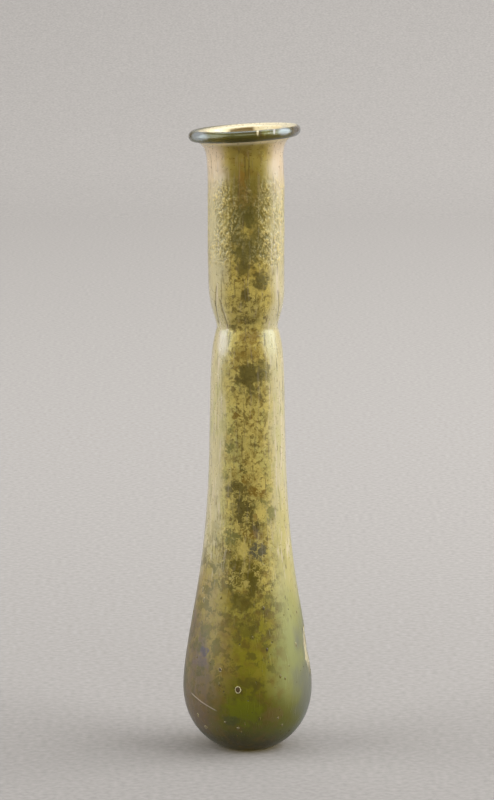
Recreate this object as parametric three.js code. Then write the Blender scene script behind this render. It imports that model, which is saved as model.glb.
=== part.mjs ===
// A blown-glass unguentarium: a slender flask with a drop-shaped body, a pinched waist, a tubular neck and a folded rim.
// The vessel is one piece of glass, open at the mouth and hollow down to its thick floor.
// Sizes are in millimetres. The vessel stands on its base at z = 0, with its axis on Z.

import * as THREE from "three";

// The body, measured on the outside
const BASE_FLAT_RADIUS = 4.8; // the small flat spot that it stands on
const BELLY_RADIUS = 12.33;
const BELLY_HEIGHT = 12; // height of the widest ring
const BOWL_FULLNESS = 2.12; // 2 makes the underside an ellipse, more makes it fuller
const BODY_RADIUS = 7.03; // the slender upper body
const NECK_RADIUS = 7.2;
const TAPER_LENGTH = 23.2; // how far up the belly's swelling reaches
const TAPER_POWER = 1.65;

// The waist that the glass-blower pinched between the body and the neck
const WAIST_HEIGHT = 81.4;
const WAIST_DEPTH = 1.36;
const WAIST_REACH_BELOW = 3.6;
const WAIST_POWER_BELOW = 1.05; // near 1 gives a sharp crease, near 2 a round hollow
const WAIST_REACH_ABOVE = 3.75;
const WAIST_POWER_ABOVE = 1.8;
const WAIST_BOTTOM = 72; // the crease no longer shows below this height
const WAIST_TOP = 90; // above this height the neck is a plain tube

// The flare under the rim
const NECK_TOP = 113.4;
const FLARE_WIDTH = 1.6;
const FLARE_HEIGHT = 3.6;
const FLARE_END = 100; // degrees round the flare, from 180 at the neck

// The rim: its edge is folded outward and in again into a round tube
const RIM_HEIGHT = 118.35; // the middle of the folded tube
const RIM_RADIUS = 9.5; // from the axis to the middle of the folded tube
const RIM_TUBE = 1.05; // radius of the folded tube
const RIM_FOLD_START = -130; // degrees round the tube where the flare meets it
const RIM_FOLD_END = 105; // degrees round the tube where its top slopes to the mouth
const GROOVE_RADIUS = 8.3;
const GROOVE_HEIGHT = 118.98;
const LIP_RADIUS = 7.55;
const LIP_HEIGHT = 119.15;
const MOUTH_RADIUS = 6.95;
const MOUTH_HEIGHT = 118.75;
const THROAT_RADIUS = 6.3;
const THROAT_HEIGHT = 117.4;

// The inside
const NECK_WALL = 1.15;
const BELLY_WALL = 1.55;
const FLOOR = 4.5; // thickness of the glass under the hollow
const BORE_TOP = 114.5;
const BORE_WAIST_DEPTH = 1.55;
const BORE_WAIST_REACH = 4.4;
const BORE_BOWL_END = -82; // degrees down the hollow's round end, close to its middle

// What the maker's hand left: the upper part leans, the rim tilts and the body isn't quite round
const NECK_LEAN = -0.26;
const NECK_LEAN_FROM = 79;
const NECK_LEAN_TO = 97;
const RIM_LEAN = -0.3;
const RIM_TILT = 3.4; // degrees, with the +X side up
const RIM_BEND_FROM = 108; // the rim's lean and tilt begin here
const RIM_BEND_TO = 117;
const OVALITY = 0.004;

// How finely the round forms are cut
const SIDES = 48;
const BOWL_STEPS = 9;
const BELLY_STEPS = 15;
const WAIST_STEPS = 9;
const NECK_STEPS = 3;
const FLARE_STEPS = 5;
const FOLD_STEPS = 10;
const BORE_STEPS = 12;
const BORE_BOWL_STEPS = 7;

// 0 below the first height, 1 above the second, with a smooth rise between them
function rise(z, from, to) {
  return THREE.MathUtils.smoothstep(z, from, to);
}

// Radius of the tube that the belly tapers into, a little wider above the waist than below it
function tubeRadius(z) {
  return THREE.MathUtils.lerp(BODY_RADIUS, NECK_RADIUS, rise(z, WAIST_BOTTOM, WAIST_TOP));
}

// How much of the belly's swelling is left at a height, from 1 at its widest ring to 0
function swelling(z) {
  const climb = Math.max(z - BELLY_HEIGHT, 0) / TAPER_LENGTH;
  return Math.exp(-(climb ** TAPER_POWER));
}

function outerRadius(z) {
  const below = z < WAIST_HEIGHT;
  const reach = below ? WAIST_REACH_BELOW : WAIST_REACH_ABOVE;
  const power = below ? WAIST_POWER_BELOW : WAIST_POWER_ABOVE;
  const away = Math.abs(z - WAIST_HEIGHT) / reach;
  const pinch = WAIST_DEPTH * Math.exp(-(away ** power));
  return tubeRadius(z) + (BELLY_RADIUS - BODY_RADIUS) * swelling(z) - pinch;
}

function innerRadius(z) {
  const wall = THREE.MathUtils.lerp(NECK_WALL, BELLY_WALL, swelling(z));
  const away = (z - WAIST_HEIGHT) / BORE_WAIST_REACH;
  const pinch = BORE_WAIST_DEPTH * Math.exp(-(away ** 2));
  return tubeRadius(z) + (BELLY_RADIUS - BODY_RADIUS) * swelling(z) - wall - pinch;
}

// Points (radius, height) of a profile between two heights, in equal steps, without the last one
function stretch(radiusAt, from, to, steps) {
  return Array.from({ length: steps }, (_, i) => {
    const z = THREE.MathUtils.lerp(from, to, i / steps);
    return new THREE.Vector2(radiusAt(z), z);
  });
}

// Points of an elliptical arc, angles in degrees from the horizontal, both ends included
function arc(centre, width, height, from, to, steps) {
  return Array.from({ length: steps + 1 }, (_, i) => {
    const angle = THREE.MathUtils.degToRad(THREE.MathUtils.lerp(from, to, i / steps));
    return new THREE.Vector2(centre.x + width * Math.cos(angle), centre.y + height * Math.sin(angle));
  });
}

// The underside, from the flat spot up to the belly's widest ring, is a slightly full half ellipse
function outerBowl() {
  const power = BOWL_FULLNESS;
  const cut = (1 - (BASE_FLAT_RADIUS / BELLY_RADIUS) ** power) ** (1 / power);
  const depth = BELLY_HEIGHT / cut;
  const start = Math.asin(cut);
  return Array.from({ length: BOWL_STEPS }, (_, i) => {
    const down = Math.sin(start * (1 - i / BOWL_STEPS));
    const radius = BELLY_RADIUS * (1 - down ** power) ** (1 / power);
    return new THREE.Vector2(radius, BELLY_HEIGHT - depth * down);
  });
}

function outside() {
  return [
    ...outerBowl(),
    ...stretch(outerRadius, BELLY_HEIGHT, WAIST_BOTTOM, BELLY_STEPS),
    ...stretch(outerRadius, WAIST_BOTTOM, WAIST_HEIGHT, WAIST_STEPS),
    ...stretch(outerRadius, WAIST_HEIGHT, WAIST_TOP, WAIST_STEPS),
    ...stretch(outerRadius, WAIST_TOP, NECK_TOP, NECK_STEPS),
  ];
}

// From the top of the neck, out under the rim, round the folded tube and over the lip into the mouth
function rim() {
  const flareMiddle = new THREE.Vector2(NECK_RADIUS + FLARE_WIDTH, NECK_TOP);
  const tubeMiddle = new THREE.Vector2(RIM_RADIUS, RIM_HEIGHT);
  return [
    ...arc(flareMiddle, FLARE_WIDTH, FLARE_HEIGHT, 180, FLARE_END, FLARE_STEPS),
    ...arc(tubeMiddle, RIM_TUBE, RIM_TUBE, RIM_FOLD_START, RIM_FOLD_END, FOLD_STEPS),
    new THREE.Vector2(GROOVE_RADIUS, GROOVE_HEIGHT),
    new THREE.Vector2(LIP_RADIUS, LIP_HEIGHT),
    new THREE.Vector2(MOUTH_RADIUS, MOUTH_HEIGHT),
    new THREE.Vector2(THROAT_RADIUS, THROAT_HEIGHT),
  ];
}

function inside() {
  const bowlDepth = BELLY_HEIGHT - FLOOR;
  const middle = new THREE.Vector2(0, BELLY_HEIGHT);
  return [
    ...stretch(innerRadius, BORE_TOP, WAIST_TOP, NECK_STEPS),
    ...stretch(innerRadius, WAIST_TOP, WAIST_BOTTOM, WAIST_STEPS),
    ...stretch(innerRadius, WAIST_BOTTOM, BELLY_HEIGHT, BORE_STEPS),
    ...arc(middle, BELLY_RADIUS - BELLY_WALL, bowlDepth, 0, BORE_BOWL_END, BORE_BOWL_STEPS),
  ];
}

// Moves each point of the turned shape as the maker's hand did
function workByHand(geometry) {
  const tilt = Math.tan(THREE.MathUtils.degToRad(RIM_TILT));
  const points = geometry.attributes.position;
  for (let i = 0; i < points.count; i += 1) {
    const x = points.getX(i);
    const y = points.getY(i);
    const z = points.getZ(i);
    const oval = OVALITY * Math.cos(2 * Math.atan2(y, x)) * rise(z, 0, BELLY_HEIGHT);
    const bend = rise(z, RIM_BEND_FROM, RIM_BEND_TO);
    const lean = NECK_LEAN * rise(z, NECK_LEAN_FROM, NECK_LEAN_TO) + RIM_LEAN * bend;
    points.setXYZ(i, x * (1 + oval) + lean, y * (1 + oval), z + x * tilt * bend);
  }
  return geometry;
}

function vessel() {
  const outline = [
    new THREE.Vector2(0, 0),
    ...outside(),
    ...rim(),
    ...inside(),
    new THREE.Vector2(0, FLOOR),
  ];
  const turned = new THREE.LatheGeometry(outline, SIDES).rotateX(Math.PI / 2);
  const glass = new THREE.MeshStandardMaterial({
    color: "#a3925a",
    roughness: 0.3,
    metalness: 0,
    transparent: true,
    opacity: 0.7,
  });
  const mesh = new THREE.Mesh(workByHand(turned), glass);
  mesh.name = "vessel";
  return mesh;
}

const unguentarium = new THREE.Group();
unguentarium.add(vessel());

export default unguentarium;
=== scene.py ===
# %% [markdown]
# # A blown-glass unguentarium
# This lesson dresses a small ancient flask: a drop-shaped body, a pinched waist, a tubular neck and
# a folded rim. The engineering solid is loaded first as a fixed frame. Every visible piece is then
# made in the same place and at the same size, in metres, with +Z up. The glass itself, its
# weathering and its tiny bubbles are made here.

# %% Load the frame
import math

import bpy
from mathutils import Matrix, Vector


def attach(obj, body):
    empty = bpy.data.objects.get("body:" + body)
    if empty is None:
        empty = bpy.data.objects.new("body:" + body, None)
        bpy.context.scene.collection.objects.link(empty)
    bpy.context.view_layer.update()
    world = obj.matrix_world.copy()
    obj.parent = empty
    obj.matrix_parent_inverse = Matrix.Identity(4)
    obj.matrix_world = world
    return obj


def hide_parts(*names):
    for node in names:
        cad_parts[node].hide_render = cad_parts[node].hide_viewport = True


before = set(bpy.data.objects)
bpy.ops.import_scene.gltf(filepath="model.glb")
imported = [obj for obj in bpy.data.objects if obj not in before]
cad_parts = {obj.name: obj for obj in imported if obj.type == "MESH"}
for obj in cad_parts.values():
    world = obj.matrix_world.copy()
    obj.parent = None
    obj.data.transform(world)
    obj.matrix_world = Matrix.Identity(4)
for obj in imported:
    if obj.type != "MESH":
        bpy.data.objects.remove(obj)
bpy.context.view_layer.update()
MM = 0.001

# %% [markdown]
# ## Formulas that write nodes
# Both the shape and the finishes below follow formulas. Node trees can hold formulas, but a tree of
# forty maths nodes is hard to read in code. A small class helps: a `Term` stands for a value inside
# a tree, and adding or multiplying two terms adds the matching maths node. The formula in the
# script then reads like the formula on paper.


# %% Terms and nodes
def feed(tree, socket, value):
    if isinstance(value, Term):
        value = value.socket
    if isinstance(value, bpy.types.NodeSocket):
        tree.links.new(value, socket)
    else:
        socket.default_value = value


def put(tree, kind, inputs=None, **settings):
    """Adds a node, sets its settings, then feeds its inputs with numbers, sockets or terms."""
    node = tree.nodes.new(kind)
    for name, value in settings.items():
        setattr(node, name, value)
    for key, value in (inputs or {}).items():
        feed(tree, node.inputs[key], value)
    return node


class Term:
    """A number inside a node tree, which can be used in plain formulas."""

    def __init__(self, tree, socket):
        self.tree = tree
        self.socket = socket

    def maths(self, operation, *others, first=None):
        node = put(self.tree, "ShaderNodeMath", operation=operation)
        values = (first, self) if first is not None else (self, *others)
        for socket, value in zip(node.inputs, values):
            feed(self.tree, socket, value)
        return Term(self.tree, node.outputs[0])

    def __add__(self, other):
        return self.maths("ADD", other)

    def __sub__(self, other):
        return self.maths("SUBTRACT", other)

    def __rsub__(self, other):
        return self.maths("SUBTRACT", first=other)

    def __mul__(self, other):
        return self.maths("MULTIPLY", other)

    def __truediv__(self, other):
        return self.maths("DIVIDE", other)

    def __rtruediv__(self, other):
        return self.maths("DIVIDE", first=other)

    def __pow__(self, other):
        return self.maths("POWER", other)

    def ramp(self, start, end):
        """0 below start, 1 above end, with a smooth rise between. Start may be above end, for a fall."""
        inputs = {"Value": self, "From Min": start, "From Max": end}
        node = put(self.tree, "ShaderNodeMapRange", inputs, interpolation_type="SMOOTHSTEP")
        return Term(self.tree, node.outputs[0])

    def between(self, start, end, soft):
        """1 between start and end, 0 outside, with soft edges of that width."""
        return self.ramp(start - soft, start) * self.ramp(end + soft, end)


# %% [markdown]
# ## The camera
# The photograph looks down on the flask a little, from about 70 cm away, with a long lens. Its
# height, pitch and focal length were worked out from two facts: where the base and the rim stand in
# the picture, and how open the rim's ellipse looks there. The camera comes first, so that every
# later step can be seen through it.

# %% Place the camera
CAMERA_ASIDE = -0.087 * MM
CAMERA_AWAY = 700 * MM
CAMERA_HEIGHT = 173 * MM
CAMERA_PITCH = 8.58  # degrees down from level
LENS = 167.04  # focal length, mm
SENSOR = 36  # width, mm

lens = bpy.data.cameras.new("camera")
lens.lens = LENS
lens.sensor_width = SENSOR
lens.clip_start = 0.01
camera = bpy.data.objects.new("camera", lens)
camera.location = (CAMERA_ASIDE, -CAMERA_AWAY, CAMERA_HEIGHT)
camera.rotation_euler = (math.radians(90 - CAMERA_PITCH), 0, 0)
bpy.context.scene.collection.objects.link(camera)
bpy.context.scene.camera = camera
bpy.context.scene.view_settings.view_transform = "Standard"
print("camera", tuple(round(v, 4) for v in camera.location))

# %% [markdown]
# ## The outline of the flask
# A turned form needs one outline, drawn from the middle of the base, up the outside, over the rim
# and down the inside. It could be drawn by hand as a curve, but its stretches follow simple rules,
# so formulas are shorter and stay exact: a bowl, a belly that dies away into a tube, a pinched
# crease, a flare and a folded round rim. The sizes are those of the solid, in millimetres. The
# outside gets many more points than the inside, because fine relief will be worked into it.

# %% Sizes of the outline, in millimetres
BASE_FLAT_RADIUS = 4.8
BELLY_RADIUS = 12.33
BELLY_HEIGHT = 12
BOWL_FULLNESS = 2.12  # 2 makes the underside an ellipse, more makes it fuller
BODY_RADIUS = 7.03
NECK_RADIUS = 7.2
TAPER_LENGTH = 23.2
TAPER_POWER = 1.65
WAIST_HEIGHT = 81.4
WAIST_DEPTH = 1.36
WAIST_BELOW = (3.6, 1.05)  # reach, and power: near 1 is a sharp crease, near 2 a round hollow
WAIST_ABOVE = (3.75, 1.8)
WAIST_BOTTOM = 72
WAIST_TOP = 90
NECK_TOP = 113.4
FLARE = (1.6, 3.6)  # width and height
FLARE_END = 100  # degrees round the flare, from 180 at the neck
RIM_HEIGHT = 118.35  # the middle of the folded tube
RIM_RADIUS = 9.5
RIM_TUBE = 1.05  # radius of the tube itself
RIM_FOLD = (-130, 105)  # degrees round the tube, from the flare to the mouth's slope
LIP = (
    # radius and height, from the groove behind the tube, over the lip, into the throat
    (8.3, 118.98),
    (7.9, 119.1),
    (7.55, 119.15),
    (7.2, 119.0),
    (6.95, 118.75),
    (6.6, 118.2),
    (6.3, 117.4),
    (6.12, 116),
)
NECK_WALL = 1.15
BELLY_WALL = 1.55
FLOOR = 4.5  # glass under the hollow
BORE_TOP = 114.5
BORE_WAIST = (1.55, 4.4)  # depth and reach
BORE_BOWL_END = -82  # degrees down the hollow's round end


def smooth_rise(value, start, end):
    t = min(max((value - start) / (end - start), 0), 1)
    return t * t * (3 - 2 * t)


def swelling(z):
    return math.exp(-((max(z - BELLY_HEIGHT, 0) / TAPER_LENGTH) ** TAPER_POWER))


BOWL_CUT = (1 - (BASE_FLAT_RADIUS / BELLY_RADIUS) ** BOWL_FULLNESS) ** (1 / BOWL_FULLNESS)


def bowl_radius(down):
    """Radius of the underside at a depth below the widest ring, as a share of the whole half ellipse."""
    return BELLY_RADIUS * (1 - down**BOWL_FULLNESS) ** (1 / BOWL_FULLNESS)


def plain_radius(z):
    tube = BODY_RADIUS + (NECK_RADIUS - BODY_RADIUS) * smooth_rise(z, WAIST_BOTTOM, WAIST_TOP)
    return tube + (BELLY_RADIUS - BODY_RADIUS) * swelling(z)


def outer_radius(z):
    reach, power = WAIST_BELOW if z < WAIST_HEIGHT else WAIST_ABOVE
    return plain_radius(z) - WAIST_DEPTH * math.exp(-((abs(z - WAIST_HEIGHT) / reach) ** power))


def inner_radius(z):
    wall = NECK_WALL + (BELLY_WALL - NECK_WALL) * swelling(z)
    depth, reach = BORE_WAIST
    return plain_radius(z) - wall - depth * math.exp(-(((z - WAIST_HEIGHT) / reach) ** 2))


# %% Draw the outline
BASE_STEPS = 10
BOWL_STEPS = 40
BODY_STEPS = 112
CREASE_STEPS = 32
NECK_STEPS = 112
FLARE_STEPS = 10
FOLD_STEPS = 22
BORE_NECK_STEPS = 10
BORE_WAIST_STEPS = 16
BORE_BODY_STEPS = 20
BORE_BOWL_STEPS = 10


def stretch(radius_at, start, end, steps):
    heights = [start + (end - start) * i / steps for i in range(steps)]
    return [(radius_at(z), z) for z in heights]


def arc(centre, width, height, start, end, steps):
    angles = [math.radians(start + (end - start) * i / steps) for i in range(steps + 1)]
    return [(centre[0] + width * math.cos(a), centre[1] + height * math.sin(a)) for a in angles]


def bowl(steps):
    downs = [math.sin(math.asin(BOWL_CUT) * (1 - i / steps)) for i in range(steps)]
    return [(bowl_radius(down), BELLY_HEIGHT - BELLY_HEIGHT / BOWL_CUT * down) for down in downs]


OUTSIDE = (
    [(BASE_FLAT_RADIUS * i / BASE_STEPS, 0) for i in range(BASE_STEPS)]
    + bowl(BOWL_STEPS)
    + stretch(outer_radius, BELLY_HEIGHT, WAIST_BOTTOM, BODY_STEPS)
    + stretch(outer_radius, WAIST_BOTTOM, WAIST_HEIGHT, CREASE_STEPS)
    + stretch(outer_radius, WAIST_HEIGHT, NECK_TOP, NECK_STEPS)
)
RIM = (
    arc((NECK_RADIUS + FLARE[0], NECK_TOP), *FLARE, 180, FLARE_END, FLARE_STEPS)
    + arc((RIM_RADIUS, RIM_HEIGHT), RIM_TUBE, RIM_TUBE, *RIM_FOLD, FOLD_STEPS)
    + list(LIP)
)
HOLLOW_END = (BELLY_RADIUS - BELLY_WALL, BELLY_HEIGHT - FLOOR)
INSIDE = (
    stretch(inner_radius, BORE_TOP, WAIST_TOP, BORE_NECK_STEPS)
    + stretch(inner_radius, WAIST_TOP, WAIST_BOTTOM, BORE_WAIST_STEPS)
    + stretch(inner_radius, WAIST_BOTTOM, BELLY_HEIGHT, BORE_BODY_STEPS)
    + arc((0, BELLY_HEIGHT), *HOLLOW_END, 0, BORE_BOWL_END, BORE_BOWL_STEPS)
    + [(0, FLOOR)]
)
OUTLINE = OUTSIDE + RIM + INSIDE
FIRST_INSIDE_POINT = len(OUTSIDE) + len(RIM)
print("the outline has", len(OUTLINE), "points, of which", FIRST_INSIDE_POINT, "lie outside the mouth")

# %% [markdown]
# ## Turning the outline
# The wheel of this flask is a Geometry Nodes tree. It spreads a flat grid, reads the outline's
# points for its rows, and wraps its columns round the axis. The same tree then does what the
# glass-blower's hand did: it lets the neck lean, tilts the rim, and works ripples, streaks and
# grain into the surface. All of these are named inputs of the tree, so the flask can be made again
# straighter or rougher. A Screw modifier could turn the outline too, but it couldn't tell the
# inside from the outside or follow the later steps.


# %% A geometry tree with named inputs
def new_geometry_tree(name, inputs):
    tree = bpy.data.node_groups.new(name, "GeometryNodeTree")
    tree.interface.new_socket("Geometry", in_out="INPUT", socket_type="NodeSocketGeometry")
    tree.interface.new_socket("Geometry", in_out="OUTPUT", socket_type="NodeSocketGeometry")
    for label, (kind, value) in inputs.items():
        socket = tree.interface.new_socket(label, in_out="INPUT", socket_type=kind)
        if value is not None:
            socket.default_value = value
    entry = tree.nodes.new("NodeGroupInput")
    leave = tree.nodes.new("NodeGroupOutput")
    return tree, entry, leave


def set_inputs(modifier, values):
    """A modifier keeps its inputs under their identifiers, so each name is looked up first."""
    for item in modifier.node_group.interface.items_tree:
        if item.item_type == "SOCKET" and item.in_out == "INPUT" and item.name in values:
            modifier[item.identifier] = values[item.name]


def split(tree, vector):
    node = put(tree, "ShaderNodeSeparateXYZ", {"Vector": vector})
    return [Term(tree, socket) for socket in node.outputs]


def joined(tree, x, y, z):
    return put(tree, "ShaderNodeCombineXYZ", {"X": x, "Y": y, "Z": z}).outputs[0]


def scaled(tree, vector, factor):
    return put(tree, "ShaderNodeVectorMath", {0: vector, "Scale": factor}, operation="SCALE").outputs[0]


def degrees_round(x, y):
    """How far round the flask a place is: 0 in front, 90 at the right, -90 at the left."""
    return x.maths("ARCTAN2", y * -1) * (180 / math.pi)


def noise(tree, vector, scale, detail=2.0, roughness=0.5):
    inputs = {"Vector": vector, "Scale": scale, "Detail": detail, "Roughness": roughness}
    return Term(tree, put(tree, "ShaderNodeTexNoise", inputs).outputs[0])


def attribute(tree, name, data_type="FLOAT"):
    return put(tree, "GeometryNodeInputNamedAttribute", {"Name": name}, data_type=data_type).outputs[0]


def store(tree, geometry, name, value):
    inputs = {"Geometry": geometry, "Name": name, "Value": value}
    return put(tree, "GeometryNodeStoreNamedAttribute", inputs).outputs[0]


def real_and_smooth(tree, geometry, material):
    """Makes instances real, smooths their faces and gives them a material."""
    whole = put(tree, "GeometryNodeRealizeInstances", {"Geometry": geometry})
    smooth = put(tree, "GeometryNodeSetShadeSmooth", {"Geometry": whole.outputs[0]})
    inputs = {"Geometry": smooth.outputs[0], "Material": material}
    return put(tree, "GeometryNodeSetMaterial", inputs).outputs[0]


# %% The turning tree
RIM_TILT = 3.4  # degrees, with the +X side up
NECK_BEND = (79 * MM, 97 * MM)  # the neck bends over between these heights
RIM_BEND = (108 * MM, 117 * MM)
SAME_POINT = 0.001 * MM

turning, entry, leave = new_geometry_tree(
    "turned flask",
    {
        "Sides": ("NodeSocketInt", 240),
        "Neck Lean": ("NodeSocketFloat", -0.26),
        "Rim Lean": ("NodeSocketFloat", -0.3),
        "Rim Tilt": ("NodeSocketFloat", RIM_TILT),
        "Ovality": ("NodeSocketFloat", 0.004),
        "Ripple": ("NodeSocketFloat", 0.05),
        "Streaks": ("NodeSocketFloat", 0.02),
        "Grain": ("NodeSocketFloat", 0.16),
        "Glass": ("NodeSocketMaterial", None),
        "Lining": ("NodeSocketMaterial", None),
    },
)
outline_geometry = entry.outputs["Geometry"]
outline_points = put(turning, "GeometryNodeAttributeDomainSize", {"Geometry": outline_geometry})
rows = Term(turning, outline_points.outputs["Point Count"])
sides = Term(turning, entry.outputs["Sides"])
grid = put(turning, "GeometryNodeMeshGrid", {"Vertices X": sides + 1, "Vertices Y": rows})
index = Term(turning, turning.nodes.new("GeometryNodeInputIndex").outputs[0])
column = (index / rows).maths("FLOOR")
row = index - column * rows
outline_point = put(
    turning,
    "GeometryNodeSampleIndex",
    {
        "Geometry": outline_geometry,
        "Value": turning.nodes.new("GeometryNodeInputPosition").outputs[0],
        "Index": row,
    },
    data_type="FLOAT_VECTOR",
)
radius, _, height = split(turning, outline_point.outputs["Value"])
angle = column / sides * math.tau
across = radius * angle.maths("SINE")
deep = radius * angle.maths("COSINE") * -1
oval = angle.maths("SINE") * angle.maths("SINE") * 2 - 1
oval = oval * height.ramp(0, BELLY_HEIGHT * MM) * Term(turning, entry.outputs["Ovality"]) + 1
bend = height.ramp(*RIM_BEND)
neck_lean = Term(turning, entry.outputs["Neck Lean"]) * MM * height.ramp(*NECK_BEND)
rim_lean = Term(turning, entry.outputs["Rim Lean"]) * MM * bend
tilt = (Term(turning, entry.outputs["Rim Tilt"]) * math.radians(1)).maths("TANGENT")
leaning = across * oval + neck_lean + rim_lean
tilted = height + across * oval * tilt * bend
place = joined(turning, leaning, deep * oval, tilted)
wrapped = put(turning, "GeometryNodeSetPosition", {"Geometry": grid.outputs["Mesh"], "Position": place})
outside = store(turning, wrapped.outputs[0], "outside", row.maths("LESS_THAN", FIRST_INSIDE_POINT))
closed = put(turning, "GeometryNodeMergeByDistance", {"Geometry": outside, "Distance": SAME_POINT})
print("the turning tree has", len(turning.nodes), "nodes before the relief")

# %% [markdown]
# ## Relief worked into the surface
# The real flask isn't smooth. Slow ripples and fine drawn streaks come from the pull of the soft
# glass. A band of pimply grain covers the neck, the crease of the waist has small slanting folds,
# and a flake is missing on the right of the belly. Sculpting could make these, but a formula that
# moves each point along its normal gives the same result every time. The folds and the flake are
# also stored as attributes, so that the finish can follow them later.

# %% Where a point lies on the flask
WAIST_FOLDS = (
    # degrees round from the front, slant in degrees a millimetre, lowest and highest height, depth
    (-40, -1.4, 82.0, 87.0, 0.13),
    (-66, 1.7, 82.6, 89.5, 0.12),
    (68, -2.2, 83.2, 88.6, 0.12),
    (-34, 0.2, 78.6, 80.8, 0.03),
    (31, 0.6, 78.8, 80.6, 0.02),
    (104, 1.5, 82.4, 88.4, 0.12),
    (139, -1.1, 82.0, 86.6, 0.10),
    (172, 2.0, 82.8, 89.0, 0.13),
    (-158, -1.6, 82.2, 87.2, 0.11),
    (-118, 1.2, 82.6, 89.2, 0.12),
)
FLAKE_ROUND = 86  # degrees round from the front
FLAKE_HEIGHT = 19.2
FLAKE_SIZE = (3.0, 5.0)  # half its width, half its height
FLAKE_DEPTH = 0.34
SKIN_AT_FLAKE = 11.3  # radius of the belly there, which turns degrees into millimetres

in_mm = scaled(turning, turning.nodes.new("GeometryNodeInputPosition").outputs[0], 1 / MM)
x, y, z = split(turning, in_mm)
around = degrees_round(x, y)


def degrees_from(centre):
    """How far round the flask a point is from a place, between -180 and 180 degrees."""
    return (around - centre).maths("WRAP", 180, -180)


# %% Folds and flake
FOLD_EDGE = (4.2, 0.6)  # degrees from its middle line: where a fold ends, and where it is whole
FOLD_FADE = 1.2  # millimetres over which a fold fades at its ends
FLAKE_EDGE = (1.0, 0.72)  # squared shares of its size: where it ends, and where it is whole
FLAKE_TEAR = 1.5  # how ragged its edge is

folds = None
fold_depths = None
for place_round, slant, low, high, depth in WAIST_FOLDS:
    off = (degrees_from(place_round) - (z - low) * slant).maths("ABSOLUTE")
    fold = off.ramp(*FOLD_EDGE) * z.between(low, high, FOLD_FADE)
    fold_depth = fold * depth
    folds = fold if folds is None else folds.maths("MAXIMUM", fold)
    fold_depths = fold_depth if fold_depths is None else fold_depths.maths("MAXIMUM", fold_depth)
flake_across = degrees_from(FLAKE_ROUND) * (math.pi / 180 * SKIN_AT_FLAKE / FLAKE_SIZE[0])
flake_up = (z - FLAKE_HEIGHT) / FLAKE_SIZE[1]
flake_edge = flake_across * flake_across + flake_up * flake_up
flake_edge = flake_edge + (noise(turning, in_mm, 0.9) - 0.5) * FLAKE_TEAR
flake = flake_edge.ramp(*FLAKE_EDGE)
print(len(WAIST_FOLDS), "folds in the waist, and one flake", FLAKE_DEPTH, "mm deep")

# %% Ripples, streaks and grain
PEBBLE_SCALE = 1.6
GRAIN_BAND = (95.5, 108, 3.5)  # lowest height, highest height, softness
STREAK_BAND = (20, 112, 12)
FOOT_EDGE = (0.3, 4)  # the relief begins here, so that the flask stands flat
RIM_EDGE = (118.5, 116)  # and it ends here, so that the lip stays round

slow = noise(turning, joined(turning, x * 0.12, y * 0.12, z * 0.05), 1.0, detail=1.0) - 0.5
drawn = noise(turning, joined(turning, x, y, z * 0.05), 1.1, detail=3.0) - 0.5
pebbles = noise(turning, joined(turning, x, y, z * 0.8), PEBBLE_SCALE, detail=1.5)
patchy = noise(turning, joined(turning, x, y, z * 0.4), 0.5, detail=1.0).ramp(0.3, 0.56)
grainy = z.between(*GRAIN_BAND) * (patchy * 0.7 + 0.3)
lift = slow * Term(turning, entry.outputs["Ripple"]) * 2
lift = lift + drawn * Term(turning, entry.outputs["Streaks"]) * 2 * z.between(*STREAK_BAND)
lift = lift + (pebbles - 0.5) * 2.4 * Term(turning, entry.outputs["Grain"]) * grainy
lift = lift - fold_depths - flake * FLAKE_DEPTH
on_outside = Term(turning, attribute(turning, "outside"))
lift = lift * MM * z.ramp(*FOOT_EDGE) * z.ramp(*RIM_EDGE) * on_outside
out = scaled(turning, turning.nodes.new("GeometryNodeInputNormal").outputs[0], lift)
worked = closed.outputs[0]
for label, value in (("fold", folds), ("flake", flake), ("grainy", grainy)):
    worked = store(turning, worked, label, value * on_outside)
worked = put(turning, "GeometryNodeSetPosition", {"Geometry": worked, "Offset": out}).outputs[0]
lined = put(
    turning,
    "GeometryNodeSetMaterial",
    {
        "Geometry": real_and_smooth(turning, worked, entry.outputs["Glass"]),
        "Selection": on_outside.maths("LESS_THAN", 0.5),
        "Material": entry.outputs["Lining"],
    },
)
turning.links.new(lined.outputs[0], leave.inputs[0])
print("the turning tree has", len(turning.nodes), "nodes")


# %% Turn the flask
def made_by_nodes(name, start, tree, inputs):
    """Runs a tree on a starting mesh and returns a plain object that holds what it made."""
    holder = bpy.data.objects.new(name + " start", start)
    bpy.context.scene.collection.objects.link(holder)
    modifier = holder.modifiers.new("nodes", "NODES")
    modifier.node_group = tree
    set_inputs(modifier, inputs)
    seen = holder.evaluated_get(bpy.context.evaluated_depsgraph_get())
    result = bpy.data.meshes.new_from_object(seen)
    holder.modifiers.remove(modifier)
    bpy.data.objects.remove(holder)
    bpy.data.meshes.remove(start)
    # The starting mesh has no material, which can leave an empty first slot
    if result.materials[0] is None:
        result.materials.pop(index=0)
    result.name = name
    piece = bpy.data.objects.new(name, result)
    bpy.context.scene.collection.objects.link(piece)
    print(name, "has", len(result.polygons), "faces")
    return piece


outline_mesh = bpy.data.meshes.new("outline")
outline_mesh.from_pydata(
    [(r * MM, 0, z * MM) for r, z in OUTLINE],
    [(i, i + 1) for i in range(len(OUTLINE) - 1)],
    [],
)
glass = bpy.data.materials.new("weathered glass")
lining = bpy.data.materials.new("crust inside")
flask = made_by_nodes("vessel_glass", outline_mesh, turning, {"Glass": glass, "Lining": lining})
lined_faces = sum(face.material_index for face in flask.data.polygons)
print("materials on the flask:", [material.name for material in flask.data.materials])
print("faces inside:", lined_faces)

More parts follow.
